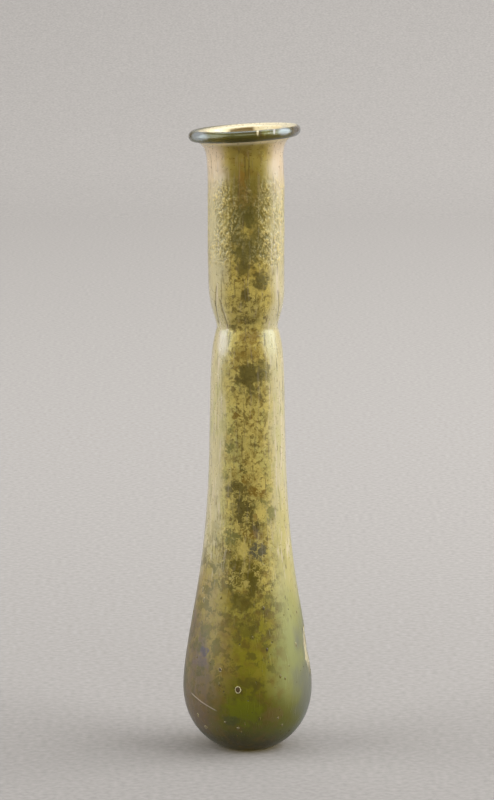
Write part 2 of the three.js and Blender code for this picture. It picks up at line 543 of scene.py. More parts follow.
# %% [markdown]
# ## Patterns that the finishes share
# Many centuries in the ground have covered this glass with films, spots and pits. Painting them
# would need an image. Here they are patterns in space: each one is a small shader node group that
# looks at a place in millimetres and answers with a mask between 0 and 1. The glass, the crust
# inside and the bubbles place the same groups with values of their own, so all of them look as if
# they had lain in the same soil.


# %% Colours and groups
def chart(red, green, blue):
    """A colour as a chart gives it, from 0 to 255, made linear for the shaders."""
    steps = [value / 255 for value in (red, green, blue)]
    linear = [((step + 0.055) / 1.055) ** 2.4 if step > 0.04 else step / 12.92 for step in steps]
    return (*linear, 1)


def mixed(tree, amount, under, over):
    return put(tree, "ShaderNodeMix", {0: amount, 6: under, 7: over}, data_type="RGBA").outputs[2]


def shader_group(name, vectors, numbers):
    """Answers with a new group that gives one mask, with its inputs, and with the socket of its mask."""
    group = bpy.data.node_groups.new(name, "ShaderNodeTree")
    for label in vectors:
        group.interface.new_socket(label, in_out="INPUT", socket_type="NodeSocketVector")
    for label in numbers:
        group.interface.new_socket(label, in_out="INPUT", socket_type="NodeSocketFloat")
    group.interface.new_socket("Mask", in_out="OUTPUT", socket_type="NodeSocketFloat")
    leave = group.nodes.new("NodeGroupOutput")
    return group, group.nodes.new("NodeGroupInput").outputs, leave.inputs["Mask"]


def mask_from(tree, group, **inputs):
    return Term(tree, put(tree, "ShaderNodeGroup", inputs, node_tree=group).outputs["Mask"])


def vector_maths(tree, operation, first, second):
    return put(tree, "ShaderNodeVectorMath", {0: first, 1: second}, operation=operation).outputs[0]


def length(tree, vector):
    node = put(tree, "ShaderNodeVectorMath", {0: vector}, operation="LENGTH")
    return Term(tree, node.outputs["Value"])


def stored(tree, name):
    """A value that the shape's tree has stored on the mesh."""
    return Term(tree, put(tree, "ShaderNodeAttribute", attribute_name=name).outputs["Fac"])


def opened(material):
    """Answers with a material's tree, its shader, and the place in millimetres."""
    material.use_nodes = True
    tree = material.node_tree
    place = scaled(tree, put(tree, "ShaderNodeTexCoord").outputs["Object"], 1 / MM)
    return tree, tree.nodes["Principled BSDF"], place


# %% Blotch: one spot of a given size at a given place, with an edge that may be ragged
BLOTCH_EDGE = (1.35, 0.65)  # as shares of its size: where it ends, and where it is whole

blotch, given, answer = shader_group("blotch", ("Place", "Centre", "Size"), ("Edge",))
away = vector_maths(blotch, "SUBTRACT", given["Place"], given["Centre"])
away = vector_maths(blotch, "DIVIDE", away, given["Size"])
feed(blotch, answer, (length(blotch, away) + Term(blotch, given["Edge"])).ramp(*BLOTCH_EDGE))

# %% Speckle: ragged spots spread over the whole surface
speckle, given, answer = shader_group("speckle", ("Place",), ("Grain", "Level", "Soft"))
spots = noise(speckle, given["Place"], 1 / Term(speckle, given["Grain"]), detail=3.0, roughness=0.55)
level = Term(speckle, given["Level"])
soft = Term(speckle, given["Soft"])
feed(speckle, answer, spots.ramp(level - soft, level + soft))

# %% Dots: small round pits and grains, some of the cells left empty
dots, given, answer = shader_group("dots", ("Place",), ("Spacing", "Radius", "Share"))
finer = 1 / Term(dots, given["Spacing"])
cell = put(dots, "ShaderNodeTexVoronoi", {"Vector": given["Place"], "Scale": finer})
radius = Term(dots, given["Radius"])
round_dot = Term(dots, cell.outputs["Distance"]).ramp(radius * 1.15, radius * 0.75)
lot = Term(dots, put(dots, "ShaderNodeSeparateColor", {0: cell.outputs["Color"]}).outputs[0])
feed(dots, answer, round_dot * lot.maths("LESS_THAN", Term(dots, given["Share"])))

# %% Drawn lines: fine upright streaks left by the pull of the soft glass
drawn_lines, given, answer = shader_group("drawn lines", ("Place",), ("Width", "Length", "Level"))
x, y, z = split(drawn_lines, given["Place"])
width = Term(drawn_lines, given["Width"])
longer = z * width / Term(drawn_lines, given["Length"])
lines = noise(drawn_lines, joined(drawn_lines, x, y, longer), 1 / width, detail=2.0, roughness=0.6)
level = Term(drawn_lines, given["Level"])
feed(drawn_lines, answer, lines.ramp(level, level + 0.09))

# %% Squiggles: thin crooked tracks, as roots and worms leave them in the crust
squiggles, given, answer = shader_group("squiggles", ("Place",), ("Grain", "Width"))
finer = 1 / Term(squiggles, given["Grain"])
from_track = (noise(squiggles, given["Place"], finer, detail=1.5) - 0.5).maths("ABSOLUTE")
width = Term(squiggles, given["Width"])
feed(squiggles, answer, from_track.ramp(width, width * 0.4))
print("shared patterns:", [group.name for group in bpy.data.node_groups if group.type == "SHADER"])

# %% [markdown]
# ## The weathered glass
# The glass is a yellow-green that turns to leaf green where it is thick, in the belly. Over it lie
# a straw-coloured film on the neck and body, mauve and slate films on the sides of the belly, and
# brown and grey-green spots that run down the middle of the body. Some layers are painted light
# and shade instead: a pale sheen on the flanks, a glow in the middle of the neck, highlights under
# the waist, on the grain and on the rim, and shade on the front of the neck top, between the
# grains, in the folds and in the throat. The shader stays simple: one Principled with a plain
# transmission, so that light comes through. All the variety is in its colour, roughness and bump.
# Each film or painted layer is a mask with a colour, laid over the one before it, as a painter
# lays glazes.

# %% Start the glass material
SHIFT = 3.4  # how far, in millimetres, the noise moves a place so that spots tear

tree, shader, place = opened(glass)
x, y, z = split(tree, place)
around = degrees_round(x, y)
aside = around.maths("ABSOLUTE")
# The colour of a noise holds three numbers, one for each direction in which a place can move
drift_inputs = {"Vector": place, "Scale": 0.7, "Detail": 4.0, "Roughness": 0.62}
drift = put(tree, "ShaderNodeTexNoise", drift_inputs).outputs["Color"]
shift = scaled(tree, vector_maths(tree, "SUBTRACT", drift, (0.5, 0.5, 0.5)), SHIFT)
ragged = vector_maths(tree, "ADD", place, shift)
cloudy = noise(tree, joined(tree, x, y, z * 0.6), 0.22, detail=2.0)
torn = (noise(tree, place, 1.0, detail=3.0, roughness=0.6) - 0.5) * 2.2
print("the glass begins with", len(tree.nodes), "nodes that say where a point lies")

# %% The films and the painted sheen on the flanks, from the ground colour up
STRAW = chart(197, 184, 105)
GOLD = chart(185, 167, 80)
OLIVE = chart(132, 127, 22)
LEAF = chart(98, 98, 2)
TAN = chart(150, 128, 66)
MAUVE = chart(110, 92, 72)
SLATE = chart(104, 104, 92)
FOOT = chart(72, 63, 34)
PALE_GREEN_SHEEN = chart(142, 147, 86)
SEA_GREEN = chart(176, 178, 112)
REED_SHEEN = chart(180, 173, 110)
PALE_SHEEN = chart(190, 185, 155)
PEACH_HIGHLIGHT = chart(210, 196, 182)

wavy_height = z + (cloudy - 0.5) * 12
wavy_x = x + (cloudy - 0.5) * 6
in_belly = wavy_height.ramp(40, 22)
in_neck = wavy_height.ramp(84, 92)
colour = mixed(tree, in_neck * 0.7, STRAW, GOLD)
# Painted sheen: the flanks that face the side softboxes are painted pale, and peach near the top of the
# neck
sideways = (aside - 90).maths("ABSOLUTE") + (cloudy - 0.5) * 30
painted_side_sheen = sideways.ramp(64, 42)
colour = mixed(tree, painted_side_sheen * 0.85, colour, mixed(tree, z.ramp(104, 113), PALE_SHEEN, PEACH_HIGHLIGHT))
green_cloud = noise(tree, joined(tree, x, y, z * 0.5), 0.4, detail=2.0).ramp(0.5, 0.62)
colour = mixed(tree, green_cloud * z.between(36, 70, 8) * 0.4, colour, SEA_GREEN)
colour = mixed(tree, in_belly, colour, OLIVE)
colour = mixed(tree, wavy_x.ramp(-2.5, -5) * wavy_height.ramp(44, 30) * 0.8, colour, TAN)
colour = mixed(tree, wavy_height.ramp(19, 10) * 0.9, colour, LEAF)
mauve_from = z.ramp(12, 32) * -3.5 - 4.5
colour = mixed(tree, wavy_x.ramp(mauve_from, mauve_from - 3) * wavy_height.ramp(42, 26), colour, MAUVE)
# Painted sheen: the right flank of the belly, lit by the stronger softboxes, turns pale green and reed
# higher up
painted_right_flank_sheen = mixed(tree, wavy_height.ramp(20, 42), PALE_GREEN_SHEEN, REED_SHEEN)
colour = mixed(tree, wavy_x.ramp(3, 8) * z.between(15, 46, 8) * 0.85, colour, painted_right_flank_sheen)
colour = mixed(tree, wavy_x.ramp(8.2, 11) * z.ramp(33, 20) * 0.9, colour, SLATE)
print("nodes after the films:", len(tree.nodes))

# %% Mottling of the belly
OCHRE = chart(150, 136, 42)
SHADE = chart(82, 76, 18)
RUST = chart(122, 98, 52)
SPRING_GREEN = chart(116, 124, 0)

mottled = wavy_height.ramp(50, 36) * z.ramp(6, 14) * wavy_x.ramp(8, 4)
ochre_spots = mask_from(tree, speckle, Place=ragged, Grain=2.6, Level=0.54, Soft=0.06)
# Read at another place, the same pattern doesn't repeat the ochre spots
elsewhere = vector_maths(tree, "ADD", ragged, (7, 3, 5))
shade_spots = mask_from(tree, speckle, Place=elsewhere, Grain=1.9, Level=0.53, Soft=0.05)
freckles = mask_from(tree, speckle, Place=place, Grain=0.9, Level=0.55, Soft=0.05)
colour = mixed(tree, ochre_spots * mottled * z.ramp(10, 20) * 0.45, colour, OCHRE)
colour = mixed(tree, shade_spots * mottled * 0.7, colour, SHADE)
colour = mixed(tree, freckles * wavy_x.ramp(-1, -6) * wavy_height.ramp(34, 24) * 0.45, colour, RUST)
# Darker towards the foot
colour = mixed(tree, (z + (cloudy - 0.5) * 5).ramp(6.5, 1.5), colour, FOOT)
print("nodes after the mottling:", len(tree.nodes))

# %% Spots and dots of weathering, and painted shade on the front of the neck top
UMBER_SHADE = chart(90, 82, 14)
BROWN = chart(116, 92, 28)
DARK_OLIVE = chart(82, 76, 34)
NECK_GREEN = chart(70, 70, 28)
GREY_GREEN = chart(112, 112, 58)
EARTH = chart(92, 76, 22)
PAINTED_GLOW = chart(150, 100, 34)

front = aside.ramp(52, 22)
# Painted shade: the front of the neck top, under the rim and away from the side softboxes, is darkened
# to umber
painted_neck_shade = aside.ramp(48, 16) * z.between(104, 117, 4) * z.ramp(122, 108)
colour = mixed(tree, painted_neck_shade * 0.8, colour, UMBER_SHADE)
behind = noise(tree, joined(tree, x, y, z * 0.25), 0.16, detail=1.0).ramp(0.48, 0.6)
spotted = front.maths("MAXIMUM", behind * aside.ramp(75, 110))
large = mask_from(tree, speckle, Place=ragged, Grain=3.4, Level=0.58, Soft=0.14)
medium = mask_from(tree, speckle, Place=place, Grain=1.7, Level=0.58, Soft=0.12)
small = mask_from(tree, speckle, Place=place, Grain=0.75, Level=0.575, Soft=0.06)
tracks = mask_from(tree, squiggles, Place=ragged, Grain=2.2, Width=0.022)
on_body = z.between(26, 84, 8)
small = small * spotted * z.between(26, 98, 6)
colour = mixed(tree, large * spotted * on_body * 0.5, colour, GREY_GREEN)
colour = mixed(tree, medium * spotted * 0.6, colour, BROWN)
colour = mixed(tree, small * 0.75, colour, EARTH)
colour = mixed(tree, tracks * spotted * z.between(40, 94, 6) * 0.6, colour, EARTH)
print("nodes after the spots:", len(tree.nodes))

# %% Blotches at their own places
STONE = chart(86, 86, 70)
MOSS = chart(66, 68, 52)
VIOLET = chart(72, 60, 96)
PLUM = chart(104, 82, 96)
BLOTCH_DEPTH = 2.5  # how far a blotch reaches to the front and the back
BLOTCHES = (
    # middle (mm), width and height (mm), colour, strength
    # The first one is a painted glow, an orange streak of light down the middle of the neck
    ((-1.0, -7.1, 108.5), (0.8, 4.5), PAINTED_GLOW, 0.4),
    ((-0.3, -7.2, 106.0), (2.2, 2.2), BROWN, 0.4),
    ((-0.3, -7.2, 103.2), (2.4, 2.0), NECK_GREEN, 0.85),
    ((-2.1, -6.9, 100.6), (1.4, 2.8), NECK_GREEN, 0.8),
    ((1.9, -6.9, 98.6), (1.6, 3.4), NECK_GREEN, 0.75),
    ((-0.4, -7.1, 96.4), (2.4, 2.5), NECK_GREEN, 0.85),
    ((-0.9, -7.1, 93.3), (1.3, 1.3), DARK_OLIVE, 0.8),
    ((2.6, -6.6, 91.1), (1.6, 1.7), DARK_OLIVE, 0.85),
    ((-0.6, -7.0, 88.4), (0.8, 1.9), DARK_OLIVE, 0.8),
    ((0.0, -6.4, 83.4), (0.9, 0.6), DARK_OLIVE, 0.6),
    ((-2.6, -5.5, 82.3), (0.8, 0.6), DARK_OLIVE, 0.7),
    ((0.1, -6.4, 80.0), (1.6, 1.2), BROWN, 0.5),
    ((0.2, -6.6, 77.4), (2.8, 1.7), BROWN, 0.5),
    ((-2.0, -6.7, 75.2), (1.3, 1.0), BROWN, 0.4),
    ((0.4, -7.0, 72.6), (2.4, 2.9), DARK_OLIVE, 0.85),
    ((3.2, -6.2, 74.0), (1.2, 1.8), DARK_OLIVE, 0.6),
    ((-2.0, -6.8, 65.4), (0.8, 0.5), BROWN, 0.85),
    ((0.6, -7.0, 65.4), (0.6, 0.4), BROWN, 0.6),
    ((-3.4, -6.2, 62.4), (0.7, 0.8), GREY_GREEN, 0.6),
    ((-3.4, -6.2, 59.2), (0.6, 1.4), GREY_GREEN, 0.85),
    ((-0.9, -7.1, 55.1), (0.6, 0.6), DARK_OLIVE, 0.85),
    ((-0.4, -7.2, 53.1), (0.7, 0.9), BROWN, 0.8),
    ((-4.0, -6.2, 53.9), (0.9, 0.9), GREY_GREEN, 0.6),
    ((-2.1, -7.1, 51.3), (2.2, 1.7), DARK_OLIVE, 0.8),
    ((1.4, -7.3, 50.8), (2.0, 1.1), BROWN, 0.9),
    ((4.2, -6.2, 51.5), (0.8, 0.8), GREY_GREEN, 0.6),
    ((-0.7, -7.6, 47.2), (2.0, 3.0), DARK_OLIVE, 0.9),
    ((3.2, -7.0, 48.6), (1.0, 0.7), GREY_GREEN, 0.7),
    ((4.3, -6.6, 46.5), (0.9, 1.4), GREY_GREEN, 0.85),
    ((1.4, -7.7, 44.2), (1.6, 1.4), DARK_OLIVE, 0.9),
    ((2.7, -7.3, 47.0), (0.8, 0.9), STRAW, 0.7),
    ((1.4, -7.6, 46.0), (0.5, 0.6), TAN, 0.8),
    ((-3.0, -7.6, 42.1), (1.6, 1.3), GREY_GREEN, 0.9),
    ((0.3, -8.0, 42.6), (1.3, 0.9), BROWN, 0.8),
    ((1.7, -8.2, 39.5), (1.6, 1.5), STONE, 0.95),
    ((-0.6, -8.3, 39.9), (0.9, 1.1), STRAW, 0.75),
    ((-2.6, -8.8, 34.5), (1.3, 2.8), SHADE, 0.85),
    ((1.1, -9.1, 33.6), (1.7, 2.6), SHADE, 0.9),
    ((0.2, -9.0, 36.4), (2.2, 1.8), SHADE, 0.8),
    ((-1.5, -9.9, 29.8), (2.0, 1.8), SHADE, 0.75),
    ((-0.3, -9.1, 33.4), (0.6, 0.6), STRAW, 0.7),
    ((-0.4, -9.1, 36.6), (0.5, 1.2), STRAW, 0.6),
    ((-4.5, -8.8, 30.0), (1.4, 2.0), OCHRE, 0.6),
    ((0.0, -10.8, 24.7), (1.6, 1.6), SHADE, 0.6),
    ((0.4, -12.0, 14.8), (2.3, 1.3), SHADE, 0.6),
    ((-0.5, -11.6, 9.3), (3.2, 2.9), SPRING_GREEN, 0.75),
    ((-3.0, -10.6, 7.4), (1.8, 0.9), MOSS, 0.5),
    ((4.5, -10.4, 8.6), (1.9, 1.5), RUST, 0.5),
    ((-8.5, -7.6, 20.4), (0.8, 0.8), VIOLET, 0.65),
    ((-8.9, -7.6, 18.2), (1.2, 1.2), PLUM, 0.5),
)
for centre, (wide, tall), tint, strength in BLOTCHES:
    size = (wide, BLOTCH_DEPTH, tall)
    spot_mask = mask_from(tree, blotch, Place=ragged, Centre=centre, Size=size, Edge=torn)
    colour = mixed(tree, spot_mask * strength, colour, tint)
elsewhere = vector_maths(tree, "ADD", ragged, (5, 0, 9))
light_tracks = mask_from(tree, squiggles, Place=elsewhere, Grain=2.4, Width=0.024)
colour = mixed(tree, light_tracks * front * z.between(34, 56, 4) * 0.7, colour, STRAW)
print(len(BLOTCHES), "blotches at their own places")

# %% Lines, folds, grain, flake and scratch, with painted highlights and shade
DEEP = chart(70, 58, 34)
SILVER_GLINT_AND_SCRATCH = chart(216, 206, 198)
FRESH_GLINT = chart(232, 222, 182)
GRAIN_HIGHLIGHT = chart(224, 206, 132)
GRAIN_BROWN_AND_SHADE = chart(108, 98, 36)
SHINE = chart(206, 200, 204)
GREEN_SHINE = chart(190, 188, 146)
# Painted highlights under the waist, where the shoulder faces up to the softboxes
PAINTED_WAIST_HIGHLIGHTS = (
    # middle (mm), width and height (mm), colour
    ((-4.8, -4.2, 79.0), (1.2, 2.4), SHINE),
    ((4.2, -4.2, 79.0), (1.6, 2.7), GREEN_SHINE),
)
SCRATCH = ((-58, 11.46), (-32, 9.4))  # both ends: degrees round from the front, and height
BODY_TINT = (0.95, 0.91, 0.85)  # a last glaze over all of the body, which the rim doesn't get

lines = mask_from(tree, drawn_lines, Place=place, Width=0.5, Length=11.0, Level=0.6)
dashes = mask_from(tree, drawn_lines, Place=place, Width=0.34, Length=3.2, Level=0.61)
elsewhere = vector_maths(tree, "ADD", place, (9, 4, 0))
pale_streaks_and_glints = mask_from(tree, drawn_lines, Place=elsewhere, Width=0.6, Length=9.0, Level=0.57)
colour = mixed(tree, lines * z.between(42, 112, 10) * 0.5, colour, DEEP)
# Pale drawn streaks, made brighter on the lit flanks as painted glints; the scratch below takes the same
# silver
colour = mixed(tree, pale_streaks_and_glints * z.between(40, 114, 10) * (painted_side_sheen * 0.4 + 0.1), colour, SILVER_GLINT_AND_SCRATCH)
colour = mixed(tree, dashes * aside.between(46, 86, 8) * z.between(28, 110, 6) * 0.75, colour, DEEP)
for centre, (wide, tall), tint in PAINTED_WAIST_HIGHLIGHTS:
    size = (wide, BLOTCH_DEPTH, tall)
    shine = mask_from(tree, blotch, Place=place, Centre=centre, Size=size, Edge=torn * 0.4)
    colour = mixed(tree, shine * 0.4, colour, tint)
fold = stored(tree, "fold")
flake = stored(tree, "flake")
grainy = stored(tree, "grainy")
# Painted shade in the folds of the waist
colour = mixed(tree, fold.ramp(0.6, 0.98) * 0.6, colour, DEEP)
pebbles = noise(tree, joined(tree, x, y, z * 0.8), PEBBLE_SCALE, detail=1.5)
grit = noise(tree, joined(tree, x, y, z * 0.8), PEBBLE_SCALE * 2, detail=2.0)
grains = pebbles * 0.6 + grit * 0.4
# The flake's scar is painted pale, partly its own fresh glass and partly a painted highlight on its
# broken face; its lower edge is darkened
flake_scar_and_glint = mixed(tree, grains.ramp(0.46, 0.6) * 0.6, FRESH_GLINT, TAN)
colour = mixed(tree, flake.ramp(0.1, 0.6) * 0.85, colour, flake_scar_and_glint)
colour = mixed(tree, flake * z.ramp(16.4, 15.4) * 0.9, colour, DEEP)
# The grain band is browned, the hollows between the grains get painted shade, and the grain tops get
# painted highlights, more of them on the lit sides
colour = mixed(tree, grainy * aside.ramp(66, 30) * 0.4, colour, GRAIN_BROWN_AND_SHADE)
shade_between_grains = grains.ramp(0.5, 0.4) * grainy * (aside.ramp(70, 30) * 0.4 + 0.3)
colour = mixed(tree, shade_between_grains, colour, GRAIN_BROWN_AND_SHADE)
highlight_on_grain_tops = grains.ramp(0.5, 0.64) * grainy * (aside.ramp(4, 34) * 0.5 + 0.15)
colour = mixed(tree, highlight_on_grain_tops, colour, GRAIN_HIGHLIGHT)
(start_round, start_height), (end_round, end_height) = SCRATCH
fall = (end_height - start_height) / (end_round - start_round)
off_scratch = (z - start_height - (around - start_round) * fall).maths("ABSOLUTE")
scratch = off_scratch.ramp(0.16, 0.05) * around.between(start_round, end_round, 4)
colour = mixed(tree, scratch * 0.5, colour, SILVER_GLINT_AND_SCRATCH)
colour = vector_maths(tree, "MULTIPLY", colour, BODY_TINT)
print("nodes after the lines and the scratch:", len(tree.nodes))

# %% The rim and the lip, with painted highlights on the tube
CREAM_LIP_AND_GLINT = chart(236, 222, 184)
LIP_SHADE = chart(222, 204, 160)
THROAT_SHADE = chart(112, 88, 44)
RIM_OLIVE = chart(78, 72, 26)
PEARL_HIGHLIGHT = chart(134, 142, 150)
SHOT_GREEN_HIGHLIGHT = chart(88, 88, 46)
RIM_GREY_REFLECTION = chart(98, 92, 92)
RIM_GREEN_GLINT = chart(112, 112, 60)
# Painted highlights, glints and a painted grey reflection of the backdrop on the tube, with dark cracks
# and edge lines among them
RIM_GLINTS_AND_DARK_LINES = (
    # middle (mm), size (mm), colour, strength
    ((-9.0, -5.6, 118.1), (2.2, 3.0, 0.8), PEARL_HIGHLIGHT, 0.9),
    ((-10.8, -1.0, 117.9), (0.5, 3.0, 1.2), DEEP, 0.7),
    ((-3.4, -9.6, 118.7), (4.6, 3.0, 0.5), SHOT_GREEN_HIGHLIGHT, 0.6),
    ((-1.6, -9.3, 119.25), (3.6, 3.0, 0.3), DEEP, 0.6),
    ((3.4, -9.6, 119.2), (0.8, 3.0, 0.5), RIM_GREEN_GLINT, 0.7),
    ((7.0, -7.6, 119.2), (1.2, 2.5, 0.7), PEARL_HIGHLIGHT, 0.9),
    ((9.8, -3.4, 119.0), (1.5, 3.5, 1.5), RIM_GREY_REFLECTION, 0.8),
    ((2.4, -10.0, 118.9), (0.25, 3.0, 0.9), DEEP, 0.5),
    ((8.3, -6.2, 118.9), (0.22, 3.0, 1.6), DEEP, 0.9),
    ((1.9, -9.6, 119.3), (0.2, 3.0, 0.6), CREAM_LIP_AND_GLINT, 0.7),
    ((5.0, -9.0, 119.3), (0.18, 3.0, 0.5), SHINE, 0.6),
)

from_axis = length(tree, joined(tree, x, y, 0.0))
level = z - x * math.tan(math.radians(RIM_TILT))
on_rim = level.ramp(116.5, 117.3)
on_tube = on_rim * from_axis.ramp(9.0, 9.7)
in_mouth = on_rim * from_axis.ramp(7.4, 6.9) * level.ramp(119.1, 118.7)
colour = mixed(tree, on_rim, colour, CREAM_LIP_AND_GLINT)
# Painted shade: a brown band across the mouth's inner slope where the hollow throat lies in shade; the
# rest of the slope is lip cream
colour = mixed(tree, in_mouth, colour, mixed(tree, x.between(-3.0, 0.8, 0.9), LIP_SHADE, THROAT_SHADE))
colour = mixed(tree, on_tube, colour, RIM_OLIVE)
for centre, size, tint, strength in RIM_GLINTS_AND_DARK_LINES:
    mark = mask_from(tree, blotch, Place=place, Centre=centre, Size=size, Edge=torn * 0.25)
    colour = mixed(tree, mark * on_tube * strength, colour, tint)
# A painted highlight: a pale peach line along the tube's lower edge
painted_lower_edge_highlight = level.between(117.24, 117.36, 0.07) * from_axis.ramp(8.7, 9.0)
colour = mixed(tree, painted_lower_edge_highlight * 0.6, colour, PEACH_HIGHLIGHT)
print(len(RIM_GLINTS_AND_DARK_LINES), "marks on the rim")

# %% Gloss, pits and the shader itself
SHADOW_TINT = chart(200, 190, 140)

pits = mask_from(tree, dots, Place=place, Spacing=1.5, Radius=0.13, Share=0.12)
pits = pits * z.ramp(46, 30)
colour = mixed(tree, pits * 0.8, colour, DEEP)
uneven = noise(tree, place, 1.6, detail=3.0)
gloss = (uneven - 0.5) * 0.2 + 0.3
gloss = gloss - on_tube * 0.1 + small * 0.1 + in_belly * 0.12 + grainy * 0.2 + z.ramp(6, 1) * 0.2
relief = uneven * 0.25 + lines * 0.35 - pits * 1.2 + small * 0.2 + grains * grainy * 3.0
bump = put(tree, "ShaderNodeBump", {"Height": relief, "Strength": 0.6, "Distance": 0.12 * MM})
feed(tree, shader.inputs["Base Color"], colour)
feed(tree, shader.inputs["Roughness"], gloss)
feed(tree, shader.inputs["Normal"], bump.outputs[0])
shader.inputs["Transmission Weight"].default_value = 0.25
shader.inputs["IOR"].default_value = 1.5
feed(tree, shader.inputs["Coat Weight"], (1 - in_belly) * 0.15)
shader.inputs["Coat Roughness"].default_value = 0.2
shader.inputs["Thin Film Thickness"].default_value = 210
shader.inputs["Thin Film IOR"].default_value = 1.38
shader.inputs["Sheen Weight"].default_value = 0.1
shader.inputs["Sheen Roughness"].default_value = 0.4
shader.inputs["Sheen Tint"].default_value = (0.92, 0.95, 0.95, 1)

# Shadow rays pass through the glass and only take on its colour, so light reaches the crust inside
through = put(tree, "ShaderNodeBsdfTransparent", {"Color": SHADOW_TINT})
is_shadow = put(tree, "ShaderNodeLightPath").outputs["Is Shadow Ray"]
both = put(tree, "ShaderNodeMixShader", {0: is_shadow, 1: shader.outputs[0], 2: through.outputs[0]})
feed(tree, tree.nodes["Material Output"].inputs["Surface"], both.outputs[0])
print("the glass has", len(tree.nodes), "nodes")

# %% [markdown]
# ## The crust inside
# The inner wall carries a matt film of soil and decayed glass. It shows through the wall as a soft
# second layer, and directly at the mouth.

# %% Make the crust
CRUST_PALE = chart(226, 210, 160)
CRUST_GREEN = chart(150, 140, 44)
CRUST_BROWN = chart(150, 126, 70)
CRUST_DARK = chart(124, 100, 50)

tree, shader, place = opened(lining)
x, y, z = split(tree, place)
crust_spots = mask_from(tree, speckle, Place=place, Grain=2.4, Level=0.56, Soft=0.14)
crust_dots = mask_from(tree, speckle, Place=place, Grain=0.8, Level=0.6, Soft=0.06)
colour = mixed(tree, z.ramp(36, 16), CRUST_PALE, CRUST_GREEN)
colour = mixed(tree, crust_spots * 0.5, colour, CRUST_BROWN)
colour = mixed(tree, crust_dots * 0.15, colour, CRUST_DARK)
feed(tree, shader.inputs["Base Color"], colour)
feed(tree, shader.inputs["Roughness"], crust_spots * 0.15 + 0.6)
bump = put(tree, "ShaderNodeBump", {"Height": crust_spots, "Strength": 0.2, "Distance": 0.08 * MM})
feed(tree, shader.inputs["Normal"], bump.outputs[0])
print("the crust has", len(tree.nodes), "nodes")

# %% [markdown]
# ## Seed bubbles
# Air that was caught in the melt stands in the wall of the belly as small long blisters, and some
# have burst into rings. They follow the surface, so Geometry Nodes scatter them: the tree spreads
# points over the flask and sets a small flattened ball on each one, half sunk, turned outwards and
# stretched upwards. The seed is fixed, so they fall in the same places every time.

# %% The scattering tree
CM2_IN_M2 = 10000
BUBBLE_SHAPE = (1.0, 1.7, 0.35)  # width, height along the flask, and how far it stands out


def standing(tree, rotation):
    """Turns an instance, whose Z faces outwards already, until its Y points up the flask."""
    inputs = {"Rotation": rotation, "Vector": (0, 0, 1)}
    return put(tree, "FunctionNodeAlignRotationToVector", inputs, axis="Y", pivot_axis="Z").outputs[0]


scatter, entry, leave = new_geometry_tree(
    "seed bubbles",
    {
        "Most per cm2": ("NodeSocketFloat", 6.0),
        "Top": ("NodeSocketFloat", 42.0),
        "Smallest": ("NodeSocketFloat", 0.07),
        "Largest": ("NodeSocketFloat", 0.24),
        "Seed": ("NodeSocketInt", 4),
        "Glass": ("NodeSocketMaterial", None),
    },
)
x, y, z = split(scatter, scatter.nodes.new("GeometryNodeInputPosition").outputs[0])
top = Term(scatter, entry.outputs["Top"]) * MM
chance = z.ramp(top, top * 0.4) * z.ramp(0.5 * MM, 2 * MM)
points = put(
    scatter,
    "GeometryNodeDistributePointsOnFaces",
    {
        "Mesh": entry.outputs["Geometry"],
        "Selection": Term(scatter, attribute(scatter, "outside")).maths("GREATER_THAN", 0.5),
        "Seed": entry.outputs["Seed"],
    },
    distribute_method="RANDOM",
)
most = Term(scatter, entry.outputs["Most per cm2"])
feed(scatter, points.inputs["Density"], chance * most * CM2_IN_M2)
ball = put(scatter, "GeometryNodeMeshUVSphere", {"Segments": 8, "Rings": 6, "Radius": 1.0})
lot = put(scatter, "FunctionNodeRandomValue", {"Seed": entry.outputs["Seed"]}, data_type="FLOAT")
few_large = Term(scatter, lot.outputs[1]) ** 3
smallest = Term(scatter, entry.outputs["Smallest"])
size = (smallest + (Term(scatter, entry.outputs["Largest"]) - smallest) * few_large) * MM
balls = put(
    scatter,
    "GeometryNodeInstanceOnPoints",
    {
        "Points": points.outputs["Points"],
        "Instance": ball.outputs["Mesh"],
        "Rotation": standing(scatter, points.outputs["Rotation"]),
        "Scale": joined(scatter, *(size * share for share in BUBBLE_SHAPE)),
    },
)
dressed = real_and_smooth(scatter, balls.outputs[0], entry.outputs["Glass"])
scatter.links.new(dressed, leave.inputs[0])
print("the scattering tree has", len(scatter.nodes), "nodes")

# %% Scatter the bubbles
BUBBLE_GREEN = chart(126, 114, 50)
BUBBLE_BROWN = chart(84, 72, 34)

bubble_glass = bpy.data.materials.new("bubble glass")
tree, shader, place = opened(bubble_glass)
dusty = mask_from(tree, speckle, Place=place, Grain=1.2, Level=0.5, Soft=0.05)
feed(tree, shader.inputs["Base Color"], mixed(tree, dusty, BUBBLE_GREEN, BUBBLE_BROWN))
feed(tree, shader.inputs["Roughness"], dusty * 0.3 + 0.15)
shader.inputs["Transmission Weight"].default_value = 0.25
feed(tree, shader.inputs["Coat Weight"], dusty * -0.3 + 0.4)
shader.inputs["Coat Roughness"].default_value = 0.08
bubbles = made_by_nodes("seed_bubbles", flask.data.copy(), scatter, {"Glass": bubble_glass})

# %% [markdown]
# ## Burst bubbles
# Where a large bubble reached the surface it has burst, and left a pale ring round a dark hollow.
# They are few, so their places are listed one by one. The script puts one point at each place, with
# the direction that it faces and its size as attributes, and a second tree sets a ring and a
# shallow hollow on every point.

